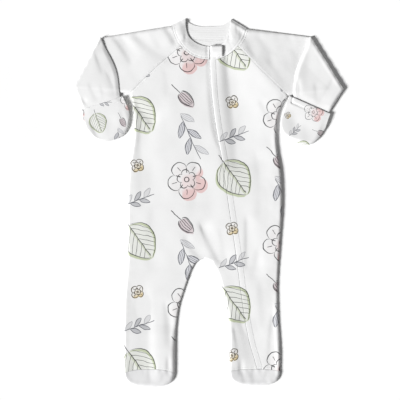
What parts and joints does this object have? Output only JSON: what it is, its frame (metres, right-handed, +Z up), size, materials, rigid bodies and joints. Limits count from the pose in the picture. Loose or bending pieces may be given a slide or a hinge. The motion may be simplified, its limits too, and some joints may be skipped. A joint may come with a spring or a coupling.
{
  "type": "footed baby sleepsuit, laid flat",
  "caption": "Footed baby sleepsuit laid flat, raglan sleeves turned forward, fold-over mitten cuffs, neckband and a covered zip from neck to foot.",
  "frame": {"origin": "middle of the garment's outline, on the surface that it lies on", "axes": "+X to the right as seen from above with the neck up, +Y from the feet to the neck, +Z up off the surface"},
  "size_m": [0.4126, 0.5627, 0.0096],
  "materials": {
    "printed_jersey": "white cotton jersey with a line-drawn botanical print",
    "plain_jersey": "plain white cotton jersey",
    "band_jersey": "plain white jersey, folded and topstitched",
    "zip_tape": "white woven tape with a nylon coil",
    "zip_slider": "white lacquer"
  },
  "bodies": {
    "root": {"back_panel": "printed_jersey", "front_wide": "printed_jersey", "front_narrow": "printed_jersey", "zip_cover": "printed_jersey", "cuff_left": "printed_jersey", "cuff_right": "printed_jersey", "sleeve_left": "plain_jersey", "sleeve_right": "plain_jersey", "toe_left": "plain_jersey", "toe_right": "plain_jersey", "sole_left": "plain_jersey", "sole_right": "plain_jersey", "neckband": "band_jersey", "zip_guard": "band_jersey", "zip_tape": "zip_tape", "zip_slider": "zip_slider"}
  },
  "joints": []
}
